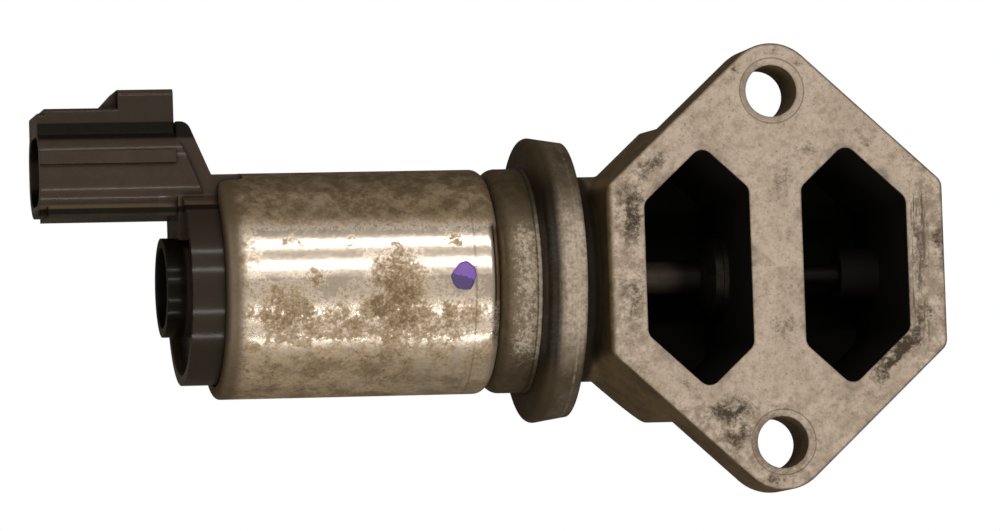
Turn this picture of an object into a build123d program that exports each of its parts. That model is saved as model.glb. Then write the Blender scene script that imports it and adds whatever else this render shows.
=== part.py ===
from build123d import *
import os
from math import acos, atan2, cos, hypot, radians, sin, tan

# Idle air control valve, in millimetres.
# A solenoid in a steel can pulls a poppet off its seat and lets air pass from one port to the other.
# The origin is the centre of the sealing face, midway between the bolt holes.
# +Z points out of the sealing face, +Y along the bolt line and +X along the valve axis, away from the plug.

# Mounting flange
bolt_spacing = 50.0
bolt_hole_diameter = 7.4
bolt_hole_chamfer = 0.85
bolt_hole_chamfer_angle = 126.0
lug_radius = 6.8
flange_width = 48.9
flange_side_length = 21.7
flange_corner_radius = 2.0
flange_thickness = 10.0
flange_back_chamfer = 0.6
flange_edge_chamfer = 0.35
flange_draft = 0.5

# Ports, chambers and the casting round them
axis_depth = 21.0
port_rim = 5.35
port_web = 7.5
port_inner_side = 22.4
port_corner_radius = 1.8
chamber_reach = 11.6
chamber_wall = 3.3
chamber_back_radius = 9.0
chamber_edge_radius = 1.0
parting_depth = 16.0
parting_swell = 0.8
front_draft = 5.0
rear_draft = 5.2

# Round end of the casting
neck_radius = 14.8
neck_length = 2.85
neck_fillet = 1.2
crimp_flange_radius = 19.45
crimp_flange_thickness = 3.3
spigot_length = 3.2
spigot_wall = 4.3
pocket_depth = 6.5
body_seal_inset = 1.4

# Drawn collar with its rolled ring
sheet_thickness = 1.2
collar_length = 5.9
collar_bend_radius = 2.0
ring_bend_radius = 1.0
ring_taper = 0.9
ring_lip = 2.4

# Solenoid can
can_radius = 16.15
can_wall = 1.2
can_length = 39.2
can_bend_radius = 1.8
can_lip = 0.65
can_lip_thickness = 1.0
can_edge_radius = 0.8
slot_width = 12.6
slot_depth = 4.0
slot_corner_radius = 1.0
slot_mouth_radius = 2.6

# End cap and vent
cap_gap = 0.25
cap_proud = 4.7
cap_rim = 1.5
cap_dish = 1.3
vent_radius = 7.1
vent_wall = 1.3
vent_length = 2.6
vent_depth = 8.0
vent_passage_radius = 3.2
filter_thickness = 2.0
cap_plug_length = 6.6
cap_well_depth = 2.4
cap_well_radius = 7.4
cap_seal_width = 1.4
cap_seal_height = 1.3
cap_seal_margin = 0.9

# Connector
shroud_reach = 20.3
shroud_offset = 16.8
shroud_height = 13.0
shroud_depth = 14.0
shroud_corner_radius = 5.2
shroud_wall = 1.6
socket_depth = 13.5
heel_setback = 0.9
heel_foot_setback = 0.55
heel_radius = 1.6
shroud_step = 2.4
rail_height = 2.15
rail_width = 11.0
rail_setback = 1.0
rail_length = 18.4
rail_edge_radius = 0.5
mouth_lip_height = 1.5
latch_height = 2.6
latch_length = 10.4
latch_edge_radius = 0.9
latch_ramp = 2.5
latch_ramp_width = 8.0
keel_height = 0.35
keel_width = 10.6
keel_setback = 1.2
key_rib_height = 1.8
key_rib_rise = 1.5
key_rib_proud = 0.6
root_proud = 0.7
root_foot = 6.4
key_recess = 0.5
blade_width = 2.8
blade_thickness = 0.8
blade_spacing = 5.0
blade_setback = 6.1
blade_grip = 7.0

# Magnetic circuit and coil
pole_flange_thickness = 2.0
pole_hub_radius = 9.2
pole_stake = 0.6
pole_stake_length = 0.8
washer_thickness = 1.6
bobbin_flange = 1.5
bobbin_wall = 1.2
bobbin_clearance = 0.35
winding_margin = 1.3
sleeve_wall = 0.5
core_spigot_radius = 5.6
core_length = 13.0
core_stake = 1.0
core_nose = 3.0
adjuster_radius = 2.5
adjuster_length = 8.0
adjuster_proud = 0.8
adjuster_overlap = 1.0
adjuster_slot_width = 0.8
adjuster_slot_depth = 1.0

# Plunger: armature, stem and valve head
armature_radius = 6.55
armature_length = 17.0
armature_chamfer = 0.4
air_gap = 4.2
stem_radius = 2.4
stem_grip = 11.0
head_spigot_radius = 1.8
tail_radius = 1.5
tail_length = 24.0
head_radius = 5.7
head_thickness = 1.15
head_hub_length = 1.6
head_hub_radius = 2.9
clip_radius = 3.2
clip_thickness = 0.7
seat_lip = 0.65
seat_lip_radius = 6.3
seat_bore_radius = 4.4
seat_wall = 1.3
bush_wall = 1.8
bush_length = 8.5
bush_proud = 1.0
tail_bush_wall = 0.9
tail_bush_length = 5.0
tail_bush_recess = 0.1
tail_boss_radius = 3.7
tail_boss_length = 5.6

# Return spring
spring_wire = 0.6
spring_radius = 1.9
spring_turns = 6.0
spring_wire_sides = 6
spring_pocket_radius = 2.9
spring_pocket_depth = 3.0

# Fits
running_fit = 0.05
slip_fit = 0.05

# Stations along the valve axis, from the flange towards the plug
ring_right = -flange_width / 2 - neck_length
crimp_right = ring_right - sheet_thickness
crimp_left = crimp_right - crimp_flange_thickness
ring_left = crimp_left - sheet_thickness
spigot_end = crimp_left - spigot_length
collar_left = ring_left - collar_length
can_floor = collar_left - can_wall
can_mouth = collar_left - can_length
cap_shoulder = can_mouth + can_lip_thickness
washer_left = cap_shoulder + cap_plug_length
washer_right = washer_left + washer_thickness
bobbin_right = can_floor - pole_flange_thickness
core_right = washer_right + core_length
armature_left = core_right + air_gap
armature_right = armature_left + armature_length
core_left = washer_left - core_stake
adjuster_left = core_left - adjuster_proud
adjuster_right = adjuster_left + adjuster_length
stem_left = armature_right - stem_grip
pole_end = collar_left + sheet_thickness + pole_stake_length
cap_seal_right = washer_left - cap_seal_margin
cap_seal_left = cap_seal_right - cap_seal_width
cap_face = can_mouth - cap_proud
vent_end = cap_face - vent_length
vent_floor = vent_end + vent_depth
shroud_mouth = cap_face - shroud_reach
socket_floor = shroud_mouth + socket_depth
root_left = cap_face - root_proud
slot_end = can_mouth + slot_depth
heel_top = cap_face + heel_setback
rail_left = shroud_mouth + rail_setback
rail_right = rail_left + rail_length
latch_left = rail_right - latch_length + latch_ramp
spring_end = armature_left + spring_pocket_depth
spring_length = spring_end - adjuster_right
seat_face = -port_web / 2 - seat_lip
head_left = seat_face - head_thickness - head_hub_length
chamber_side = flange_width / 2 - port_rim
can_bore = can_radius - can_wall
cap_radius = can_bore - can_lip - cap_gap
collar_bore = can_radius - sheet_thickness
pocket_radius = collar_bore - slip_fit - spigot_wall
sleeve_bore = armature_radius + running_fit
sleeve_radius = sleeve_bore + sleeve_wall
bobbin_bore = sleeve_radius + slip_fit
bobbin_hub = bobbin_bore + bobbin_wall
cap_plug_radius = can_bore - slip_fit
vent_bore = vent_radius - vent_wall
bobbin_flange_radius = can_bore - bobbin_clearance
stem_bore = stem_radius + running_fit
bush_radius = stem_bore + bush_wall
tail_bore = tail_radius + running_fit
tail_bush_radius = tail_bore + tail_bush_wall
seat_radius = seat_bore_radius + seat_wall
ring_bore = crimp_flange_radius + slip_fit
ring_radius = ring_bore + sheet_thickness
pole_hole = pole_hub_radius + slip_fit
shroud_top = shroud_offset + shroud_height / 2
shroud_bottom = shroud_offset - shroud_height / 2
rail_top = shroud_top + rail_height
mouth_lip_top = shroud_top + mouth_lip_height
key_top = can_radius - key_recess
heel_foot = can_mouth - heel_foot_setback
heel_lean = (heel_foot - heel_top) / (shroud_top - key_top)

# Slope of the flange's four slanted sides, as the direction of their outward normal
corner_x = flange_width / 2 - flange_corner_radius
corner_drop = bolt_spacing / 2 - flange_side_length / 2
corner_distance = hypot(corner_x, corner_drop)
slope_turn = acos((lug_radius - flange_corner_radius) / corner_distance)
slope_normal = slope_turn - atan2(corner_drop, corner_x)
slope_reach = sin(slope_normal) * bolt_spacing / 2 + lug_radius

# Corners of one port, whose outer sides run parallel to the flange's sides
port_reach = slope_reach - port_rim
port_outer_y = (port_reach - chamber_side * cos(slope_normal)) / sin(slope_normal)
port_fall = 1 / tan(slope_normal)
port_inner_x = port_web / 2
port_inner_y = port_inner_side / 2
port_apex_x = (port_reach / sin(slope_normal) - port_inner_y + port_inner_x * port_fall) / (2 * port_fall)
port_apex_y = port_inner_y + (port_apex_x - port_inner_x) * port_fall
chamber_half_height = port_apex_y + chamber_wall
chamber_floor = axis_depth + chamber_reach
casting_back = chamber_floor + chamber_wall

valve_axis = Axis((0, 0, -axis_depth), (1, 0, 0))
axis_plane = Plane(origin=(0, 0, -axis_depth), x_dir=(1, 0, 0), z_dir=(0, -1, 0))
side_plane = Plane.XY.offset(-axis_depth)
top_plane = Plane(origin=(0, 0, -axis_depth), x_dir=(1, 0, 0), z_dir=(0, 1, 0))


def across(station):
    """The plane square to the valve axis at a station: its x is the part's Y, its y the part's Z."""
    return Plane(origin=(station, 0, -axis_depth), x_dir=(0, 1, 0), z_dir=(1, 0, 0))


def flange_outline(grow):
    """Draws the diamond of the flange, with its bolt lugs and rounded corners, a little larger or smaller."""
    tip_y = (slope_reach + grow) / sin(slope_normal)
    side_x = flange_width / 2 + grow
    side_y = (slope_reach + grow - side_x * cos(slope_normal)) / sin(slope_normal)
    upper = [(side_x, side_y), (0, tip_y), (-side_x, side_y)]
    Polygon(*upper, *[(x, -y) for x, y in reversed(upper)], align=None)
    fillet(vertices().group_by(SortBy.DISTANCE)[-1], lug_radius + grow)
    side_corners = [corner for corner in vertices() if abs(abs(corner.X) - side_x) < slip_fit]
    fillet(side_corners, flange_corner_radius + grow)


def port_corners(side):
    """The six corners of one port, on the side of the web given by -1 or 1."""
    upper = [
        (side * chamber_side, port_outer_y),
        (side * port_apex_x, port_apex_y),
        (side * port_inner_x, port_inner_y),
    ]
    return upper + [(x, -y) for x, y in reversed(upper)]


# Chamber block of the casting: the flange's diamond cut off above and below, drafted from the parting plane
with BuildPart() as chamber_block:
    with BuildSketch(Plane.XY.offset(-parting_depth)):
        flange_outline(parting_swell)
    extrude(amount=parting_depth - flange_thickness / 2, taper=front_draft)
    with BuildSketch(Plane.XY.offset(-parting_depth)):
        flange_outline(parting_swell)
    extrude(amount=parting_depth - casting_back, taper=rear_draft)
    with BuildSketch(Plane.YZ):
        with Locations((0, -casting_back / 2)):
            Rectangle(2 * chamber_half_height, casting_back)
        fillet(vertices().group_by(Axis.Y)[0], chamber_back_radius)
    extrude(amount=flange_width, both=True, mode=Mode.INTERSECT)
    fillet(faces().filter_by(Axis.Y).edges().filter_by(Axis.X, reverse=True), chamber_edge_radius)

# Die-cast body: flange with two ports, chambers behind them, neck, round crimping flange and spigot
with BuildPart() as valve_body:
    with BuildSketch(Plane.XY.offset(-flange_thickness)):
        flange_outline(flange_thickness * tan(radians(flange_draft)))
    extrude(amount=flange_thickness - flange_edge_chamfer, taper=flange_draft)
    with BuildSketch(Plane.XY.offset(-flange_edge_chamfer)):
        flange_outline(flange_edge_chamfer * tan(radians(flange_draft)))
    extrude(amount=flange_edge_chamfer, taper=45)
    chamfer(faces().sort_by(Axis.Z)[0].outer_wire().edges(), flange_back_chamfer)
    add(chamber_block.part)
    with BuildSketch(axis_plane):
        with BuildLine():
            Polyline(
                (spigot_end, 0),
                (spigot_end, collar_bore - slip_fit),
                (crimp_left, collar_bore - slip_fit),
                (crimp_left, crimp_flange_radius),
                (crimp_right, crimp_flange_radius),
                (crimp_right, neck_radius),
                (-chamber_side, neck_radius),
                (-chamber_side, 0),
                close=True,
            )
        make_face()
    revolve(axis=valve_axis)
    round_faces = faces().filter_by(GeomType.CYLINDER)
    neck_faces = round_faces.filter_by(lambda face: abs(face.radius - neck_radius) < slip_fit)
    fillet(neck_faces.edges().filter_by(lambda edge: edge.center().X > ring_right), neck_fillet)
    with BuildSketch(Plane.XY):
        for side in (-1, 1):
            Polygon(*port_corners(side), align=None)
        fillet(vertices(), port_corner_radius)
    extrude(amount=-chamber_floor, mode=Mode.SUBTRACT)
    with BuildSketch(across(chamber_side - tail_boss_length)):
        Circle(tail_boss_radius)
    extrude(amount=tail_boss_length + port_rim / 2)
    with BuildSketch(across(chamber_side - tail_boss_length)):
        Circle(tail_bush_radius + slip_fit)
    extrude(amount=tail_boss_length + port_rim / 4, mode=Mode.SUBTRACT)
    with BuildSketch(across(-port_web)):
        Circle(seat_radius + slip_fit)
    extrude(amount=2 * port_web, mode=Mode.SUBTRACT)
    with BuildSketch(across(spigot_end)):
        Circle(pocket_radius)
    extrude(amount=pocket_depth, mode=Mode.SUBTRACT)
    with BuildSketch(across(spigot_end)):
        Circle(bush_radius + slip_fit)
    extrude(amount=-spigot_end - chamber_side, mode=Mode.SUBTRACT)
    with Locations((0, bolt_spacing / 2), (0, -bolt_spacing / 2)):
        CounterSinkHole(
            bolt_hole_diameter / 2,
            bolt_hole_diameter / 2 + bolt_hole_chamfer,
            counter_sink_angle=bolt_hole_chamfer_angle,
        )

# Drawn steel collar, rolled over the casting's round flange
with BuildPart() as crimp_collar:
    with BuildSketch(axis_plane):
        with BuildLine():
            Polyline(
                (collar_left, pole_hole),
                (collar_left, can_radius),
                (ring_left, can_radius),
                (ring_left, ring_radius),
                (ring_right, ring_radius - ring_taper),
                (ring_right, crimp_flange_radius - ring_lip),
                (crimp_right, crimp_flange_radius - ring_lip),
                (crimp_right, ring_bore),
                (crimp_left, ring_bore),
                (crimp_left, collar_bore),
                (collar_left + sheet_thickness, collar_bore),
                (collar_left + sheet_thickness, pole_hole),
                close=True,
            )
        make_face()
        fillet(vertices().sort_by_distance((collar_left, can_radius))[0], collar_bend_radius)
        fillet(vertices().sort_by_distance((ring_left, ring_radius))[0], ring_bend_radius)
    revolve(axis=valve_axis)

# Deep-drawn steel can, open towards the plug, with a slot in its lip for the cap's key
with BuildPart() as solenoid_can:
    with BuildSketch(axis_plane):
        with BuildLine():
            Polyline(
                (can_mouth, can_bore - can_lip),
                (can_mouth, can_radius),
                (collar_left, can_radius),
                (collar_left, pole_hole),
                (can_floor, pole_hole),
                (can_floor, can_bore),
                (cap_shoulder, can_bore),
                (cap_shoulder, can_bore - can_lip),
                close=True,
            )
        make_face()
        fillet(vertices().sort_by_distance((can_mouth, can_radius))[0], can_edge_radius)
        fillet(vertices().sort_by_distance((collar_left, can_radius))[0], can_bend_radius)
    revolve(axis=valve_axis)
    with BuildSketch(top_plane):
        with Locations((can_mouth + slot_depth / 2, 0)):
            Rectangle(slot_depth, slot_width)
        fillet(vertices().group_by(Axis.X)[-1], slot_corner_radius)
        with Locations((can_mouth - slot_mouth_radius, 0)):
            Rectangle(2 * slot_mouth_radius, slot_width + 4 * slot_mouth_radius)
        for side in (-1, 1):
            fillet(vertices().sort_by_distance((can_mouth, side * slot_width / 2))[0], slot_mouth_radius)
    extrude(amount=can_radius, mode=Mode.SUBTRACT)

# Moulded end cap: plug in the can, vent boss, and the connector shroud on its root
with BuildPart() as end_cap:
    with BuildSketch(across(shroud_mouth)):
        with Locations((shroud_offset, 0)):
            RectangleRounded(shroud_height, shroud_depth, shroud_corner_radius)
    extrude(amount=can_mouth - shroud_mouth)
    with BuildSketch(side_plane):
        Polygon(
            (heel_top - shroud_step, shroud_top),
            (heel_foot - shroud_step, key_top),
            (heel_foot - shroud_step + heel_lean * (key_top - shroud_bottom), shroud_bottom),
            (can_mouth + shroud_step, shroud_bottom),
            (can_mouth + shroud_step, shroud_top),
            align=None,
        )
    extrude(amount=shroud_depth, both=True, mode=Mode.SUBTRACT)
    with BuildSketch(across(rail_left)):
        with Locations((shroud_offset, 0)):
            Rectangle(rail_top - shroud_offset, rail_width, align=(Align.MIN, Align.CENTER))
        fillet(vertices().group_by(Axis.X)[-1], rail_edge_radius)
    extrude(amount=rail_length)
    with BuildSketch(across(shroud_mouth)):
        with Locations((shroud_offset, 0)):
            Rectangle(mouth_lip_top - shroud_offset, rail_width, align=(Align.MIN, Align.CENTER))
        fillet(vertices().group_by(Axis.X)[-1], rail_edge_radius)
    extrude(amount=rail_setback)
    with BuildSketch(across(latch_left)):
        with Locations((shroud_offset, 0)):
            Rectangle(rail_top + latch_height - shroud_offset, rail_width, align=(Align.MIN, Align.CENTER))
        fillet(vertices().group_by(Axis.X)[-1], latch_edge_radius)
    extrude(amount=rail_right - latch_left)
    with BuildSketch(side_plane):
        Polygon(
            (latch_left - latch_ramp, rail_top),
            (latch_left, rail_top + latch_height),
            (latch_left, shroud_offset),
            (latch_left - latch_ramp, shroud_offset),
            align=None,
        )
    extrude(amount=latch_ramp_width / 2, both=True)
    with BuildSketch(side_plane):
        Polygon(
            (shroud_mouth + keel_setback, shroud_bottom - keel_height),
            (root_left, shroud_bottom - keel_height),
            (root_left, shroud_offset),
            (shroud_mouth + keel_setback, shroud_offset),
            align=None,
        )
    extrude(amount=keel_width / 2, both=True)
    with BuildSketch(side_plane):
        with Locations(((shroud_mouth + rail_right) / 2, shroud_offset + key_rib_rise)):
            Rectangle(rail_right - shroud_mouth, key_rib_height)
    extrude(amount=shroud_depth / 2 + key_rib_proud)
    with BuildSketch(side_plane):
        Polygon(
            (root_left, root_foot),
            (root_left, shroud_top),
            (heel_top, shroud_top),
            (heel_foot, key_top),
            (slot_end - slip_fit, key_top),
            (slot_end - slip_fit, root_foot),
            align=None,
        )
        fillet(vertices().sort_by_distance((heel_top, shroud_top))[0], heel_radius)
    extrude(amount=slot_width / 2 - slip_fit, both=True)
    fillet(edges().filter_by(Axis.Y).group_by(Axis.X)[-1], slot_corner_radius)
    with BuildSketch(axis_plane):
        with BuildLine():
            Polyline(
                (vent_end, 0),
                (vent_end, vent_radius),
                (cap_face + cap_dish, vent_radius),
                (cap_face + cap_dish, cap_radius - cap_rim),
                (cap_face, cap_radius - cap_rim),
                (cap_face, cap_radius),
                (cap_shoulder, cap_radius),
                (cap_shoulder, cap_plug_radius),
                (cap_seal_left, cap_plug_radius),
                (cap_seal_left, cap_plug_radius - cap_seal_height),
                (cap_seal_right, cap_plug_radius - cap_seal_height),
                (cap_seal_right, cap_plug_radius),
                (washer_left, cap_plug_radius),
                (washer_left, 0),
                close=True,
            )
        make_face()
    revolve(axis=valve_axis)
    with BuildSketch(axis_plane):
        with BuildLine():
            Polyline(
                (vent_end, 0),
                (vent_end, vent_bore),
                (vent_floor, vent_bore),
                (vent_floor, vent_passage_radius),
                (washer_left - cap_well_depth, vent_passage_radius),
                (washer_left - cap_well_depth, cap_well_radius),
                (washer_left, cap_well_radius),
                (washer_left, 0),
                close=True,
            )
        make_face()
    revolve(axis=valve_axis, mode=Mode.SUBTRACT)
    with BuildSketch(across(shroud_mouth)):
        with Locations((shroud_offset, 0)):
            RectangleRounded(
                shroud_height - 2 * shroud_wall,
                shroud_depth - 2 * shroud_wall,
                shroud_corner_radius - shroud_wall,
            )
    extrude(amount=socket_depth, mode=Mode.SUBTRACT)
    with BuildSketch(across(socket_floor)):
        with Locations((shroud_offset, 0)):
            with GridLocations(0, blade_spacing, 1, 2):
                Rectangle(blade_thickness + 2 * slip_fit, blade_width + 2 * slip_fit)
    extrude(amount=blade_grip + slip_fit, mode=Mode.SUBTRACT)

# Pair of terminal blades, set in the floor of the socket
with BuildPart() as terminal_blades:
    with BuildSketch(across(shroud_mouth + blade_setback)):
        with Locations((shroud_offset, 0)):
            with GridLocations(0, blade_spacing, 1, 2):
                Rectangle(blade_thickness, blade_width)
    extrude(amount=socket_depth - blade_setback + blade_grip)
    chamfer(faces().group_by(Axis.X)[0].edges().filter_by(Axis.Z), blade_thickness / 4)

# Foam disc at the bottom of the vent
with BuildPart() as vent_filter:
    with BuildSketch(across(vent_floor - filter_thickness)):
        Circle(vent_bore - slip_fit)
    extrude(amount=filter_thickness)

# Rubber ring between the cap and the can
with BuildPart() as cap_seal:
    with BuildSketch(across(cap_seal_left + slip_fit)):
        Circle(can_bore - slip_fit / 2)
        Circle(cap_plug_radius - cap_seal_height + slip_fit, mode=Mode.SUBTRACT)
    extrude(amount=cap_seal_width - 2 * slip_fit)

# Rubber ring between the casting's spigot and the floor of the collar
with BuildPart() as body_seal:
    with BuildSketch(across(collar_left + sheet_thickness)):
        Circle(collar_bore - slip_fit)
        Circle(pocket_radius + body_seal_inset, mode=Mode.SUBTRACT)
    extrude(amount=spigot_end - collar_left - sheet_thickness)

# Flanged pole ring, staked through the floors of the can and the collar
with BuildPart() as front_pole:
    with BuildSketch(axis_plane):
        with BuildLine():
            Polyline(
                (bobbin_right, bobbin_bore),
                (bobbin_right, can_bore - slip_fit),
                (can_floor, can_bore - slip_fit),
                (can_floor, pole_hub_radius),
                (pole_end - pole_stake_length, pole_hub_radius),
                (pole_end - pole_stake_length, pole_hub_radius + pole_stake),
                (pole_end, pole_hub_radius + pole_stake),
                (pole_end, bobbin_bore),
                close=True,
            )
        make_face()
    revolve(axis=valve_axis)

# Moulded bobbin
with BuildPart() as coil_bobbin:
    with BuildSketch(axis_plane):
        with BuildLine():
            Polyline(
                (washer_right, bobbin_bore),
                (washer_right, bobbin_flange_radius),
                (washer_right + bobbin_flange, bobbin_flange_radius),
                (washer_right + bobbin_flange, bobbin_hub),
                (bobbin_right - bobbin_flange, bobbin_hub),
                (bobbin_right - bobbin_flange, bobbin_flange_radius),
                (bobbin_right, bobbin_flange_radius),
                (bobbin_right, bobbin_bore),
                close=True,
            )
        make_face()
    revolve(axis=valve_axis)

# Copper winding on the bobbin
with BuildPart() as coil_winding:
    with BuildSketch(across(washer_right + bobbin_flange)):
        Circle(bobbin_flange_radius - winding_margin)
        Circle(bobbin_hub + slip_fit, mode=Mode.SUBTRACT)
    extrude(amount=bobbin_right - washer_right - 2 * bobbin_flange)

# Steel washer that closes the magnetic circuit under the cap
with BuildPart() as yoke_washer:
    with BuildSketch(across(washer_left)):
        Circle(can_bore - slip_fit)
        Circle(core_spigot_radius + slip_fit, mode=Mode.SUBTRACT)
    extrude(amount=washer_thickness)

# Fixed core with its nose in the guide sleeve, bored for the adjuster and the spring
with BuildPart() as fixed_core:
    with BuildSketch(axis_plane):
        with BuildLine():
            Polyline(
                (core_left, adjuster_radius + slip_fit),
                (core_left, core_spigot_radius),
                (washer_right, core_spigot_radius),
                (washer_right, sleeve_radius),
                (core_right - core_nose, sleeve_radius),
                (core_right - core_nose, armature_radius),
                (core_right, armature_radius),
                (core_right, spring_pocket_radius),
                (adjuster_right - adjuster_overlap, spring_pocket_radius),
                (adjuster_right - adjuster_overlap, adjuster_radius + slip_fit),
                close=True,
            )
        make_face()
    revolve(axis=valve_axis)

# Brass sleeve that guides the armature
with BuildPart() as guide_sleeve:
    with BuildSketch(across(core_right - core_nose)):
        Circle(sleeve_radius)
        Circle(sleeve_bore, mode=Mode.SUBTRACT)
    extrude(amount=pole_end - core_right + core_nose)

# Slotted screw that sets the spring's preload, reached through the vent
with BuildPart() as spring_adjuster:
    with BuildSketch(across(adjuster_left)):
        Circle(adjuster_radius)
    extrude(amount=adjuster_length)
    with BuildSketch(across(adjuster_left)):
        Rectangle(adjuster_slot_width, 2 * adjuster_radius)
    extrude(amount=adjuster_slot_depth, mode=Mode.SUBTRACT)

# Return spring between the adjuster and the armature
with BuildPart() as return_spring:
    with BuildLine():
        coil = Helix(
            pitch=(spring_length - spring_wire) / spring_turns,
            height=spring_length - spring_wire,
            radius=spring_radius,
            center=(adjuster_right + spring_wire / 2, 0, -axis_depth),
            direction=(1, 0, 0),
        )
    with BuildSketch(Plane(origin=coil @ 0, z_dir=coil % 0)):
        RegularPolygon(spring_wire / 2 - slip_fit, spring_wire_sides)
    sweep(path=coil, is_frenet=True)

# Steel armature, pressed on the stem
with BuildPart() as armature:
    with BuildSketch(axis_plane):
        with BuildLine():
            Polyline(
                (spring_end, 0),
                (spring_end, spring_pocket_radius),
                (armature_left, spring_pocket_radius),
                (armature_left, armature_radius),
                (armature_right, armature_radius),
                (armature_right, stem_radius + slip_fit),
                (stem_left, stem_radius + slip_fit),
                (stem_left, 0),
                close=True,
            )
        make_face()
        rims = [(armature_left, armature_radius), (armature_right, armature_radius)]
        for rim in rims:
            chamfer(vertices().sort_by_distance(rim)[0], armature_chamfer)
    revolve(axis=valve_axis)

# Ground stem, stepped for the valve head, with a tail guided beyond the seat
with BuildPart() as valve_stem:
    with BuildSketch(axis_plane):
        with BuildLine():
            Polyline(
                (stem_left, 0),
                (stem_left, stem_radius),
                (head_left, stem_radius),
                (head_left, head_spigot_radius),
                (seat_face, head_spigot_radius),
                (seat_face, tail_radius),
                (seat_face + tail_length, tail_radius),
                (seat_face + tail_length, 0),
                close=True,
            )
        make_face()
    revolve(axis=valve_axis)

# Valve head, flat towards the seat
with BuildPart() as valve_head:
    with BuildSketch(axis_plane):
        with BuildLine():
            Polyline(
                (head_left, head_spigot_radius + slip_fit),
                (head_left, head_hub_radius),
                (head_left + head_hub_length, head_radius),
                (seat_face, head_radius),
                (seat_face, head_spigot_radius + slip_fit),
                close=True,
            )
        make_face()
    revolve(axis=valve_axis)

# Push-on clip that holds the head on the stem
with BuildPart() as head_clip:
    with BuildSketch(across(seat_face)):
        Circle(clip_radius)
        Circle(tail_radius + slip_fit, mode=Mode.SUBTRACT)
    extrude(amount=clip_thickness)

# Valve seat, pressed through the web between the chambers
with BuildPart() as valve_seat:
    with BuildSketch(axis_plane):
        with BuildLine():
            Polyline(
                (seat_face, seat_bore_radius),
                (seat_face, seat_lip_radius),
                (-port_web / 2, seat_lip_radius),
                (-port_web / 2, seat_radius),
                (port_web / 2, seat_radius),
                (port_web / 2, seat_bore_radius),
                close=True,
            )
        make_face()
    revolve(axis=valve_axis)

# Bronze bush for the stem, in the wall of the first chamber
with BuildPart() as stem_bush:
    with BuildSketch(across(bush_proud - chamber_side - bush_length)):
        Circle(bush_radius)
        Circle(stem_bore, mode=Mode.SUBTRACT)
    extrude(amount=bush_length)

# Bronze bush for the stem's tail, in the boss of the second chamber
with BuildPart() as tail_bush:
    with BuildSketch(across(chamber_side - tail_boss_length + tail_bush_recess)):
        Circle(tail_bush_radius)
        Circle(tail_bore, mode=Mode.SUBTRACT)
    extrude(amount=tail_bush_length)

os.makedirs("parts", exist_ok=True)
pieces = {
    "valve_body": valve_body,
    "crimp_collar": crimp_collar,
    "solenoid_can": solenoid_can,
    "end_cap": end_cap,
    "terminal_blades": terminal_blades,
    "vent_filter": vent_filter,
    "cap_seal": cap_seal,
    "body_seal": body_seal,
    "front_pole": front_pole,
    "coil_bobbin": coil_bobbin,
    "coil_winding": coil_winding,
    "yoke_washer": yoke_washer,
    "fixed_core": fixed_core,
    "guide_sleeve": guide_sleeve,
    "spring_adjuster": spring_adjuster,
    "return_spring": return_spring,
    "armature": armature,
    "valve_stem": valve_stem,
    "valve_head": valve_head,
    "head_clip": head_clip,
    "valve_seat": valve_seat,
    "stem_bush": stem_bush,
    "tail_bush": tail_bush,
}
for name, piece in pieces.items():
    piece.part.label = name
    export_step(piece.part, f"parts/{name}.step")
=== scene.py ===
from math import cos, pi, radians, sin
import bmesh
import bpy
from mathutils import Matrix, Vector


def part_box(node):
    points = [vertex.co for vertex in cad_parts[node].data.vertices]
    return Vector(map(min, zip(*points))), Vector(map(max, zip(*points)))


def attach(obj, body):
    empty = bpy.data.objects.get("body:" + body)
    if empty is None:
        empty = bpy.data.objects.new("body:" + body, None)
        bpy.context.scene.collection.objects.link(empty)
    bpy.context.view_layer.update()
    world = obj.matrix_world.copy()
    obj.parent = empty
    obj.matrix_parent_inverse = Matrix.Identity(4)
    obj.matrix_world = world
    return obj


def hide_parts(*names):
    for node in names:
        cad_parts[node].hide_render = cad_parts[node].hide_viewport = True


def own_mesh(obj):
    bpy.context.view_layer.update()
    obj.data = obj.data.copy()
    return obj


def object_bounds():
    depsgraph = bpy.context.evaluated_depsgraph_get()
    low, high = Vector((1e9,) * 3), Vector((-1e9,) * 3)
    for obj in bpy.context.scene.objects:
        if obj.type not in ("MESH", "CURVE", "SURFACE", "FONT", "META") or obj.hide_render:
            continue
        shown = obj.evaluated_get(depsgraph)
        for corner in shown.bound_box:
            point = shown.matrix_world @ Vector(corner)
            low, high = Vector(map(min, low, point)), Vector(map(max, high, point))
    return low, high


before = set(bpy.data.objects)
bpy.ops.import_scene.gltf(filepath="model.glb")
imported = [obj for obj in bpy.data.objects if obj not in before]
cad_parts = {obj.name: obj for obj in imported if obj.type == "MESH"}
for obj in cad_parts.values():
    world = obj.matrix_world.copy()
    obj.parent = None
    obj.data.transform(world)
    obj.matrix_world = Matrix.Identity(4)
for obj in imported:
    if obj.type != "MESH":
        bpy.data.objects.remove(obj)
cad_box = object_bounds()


# Cast body: one aluminium die casting with the diamond flange, both air chambers and the neck of the solenoid.
# The sealing face is milled flat and carries the print of a gasket; the sides are raw casting, browned by heat
# and oil, and the chambers are black with soot. Two bolts through the lugs hold it on the intake.
mm_per_metre = 1000.0


def feed(made, inputs):
    """Sets a node's inputs, each to a plain value or to another node's output."""
    for key, value in inputs.items():
        if isinstance(value, bpy.types.NodeSocket):
            made.id_data.links.new(value, made.inputs[key])
        else:
            made.inputs[key].default_value = value
    return made


def node(tree, kind, inputs=None, **settings):
    """Adds one node with its settings and its inputs."""
    made = tree.nodes.new(kind)
    for name, value in settings.items():
        setattr(made, name, value)
    return feed(made, inputs or {})


def work_out(tree, operation, first, second=0.0):
    """One step of arithmetic between numbers or outputs."""
    return node(tree, "ShaderNodeMath", {0: first, 1: second}, operation=operation).outputs[0]


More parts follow.
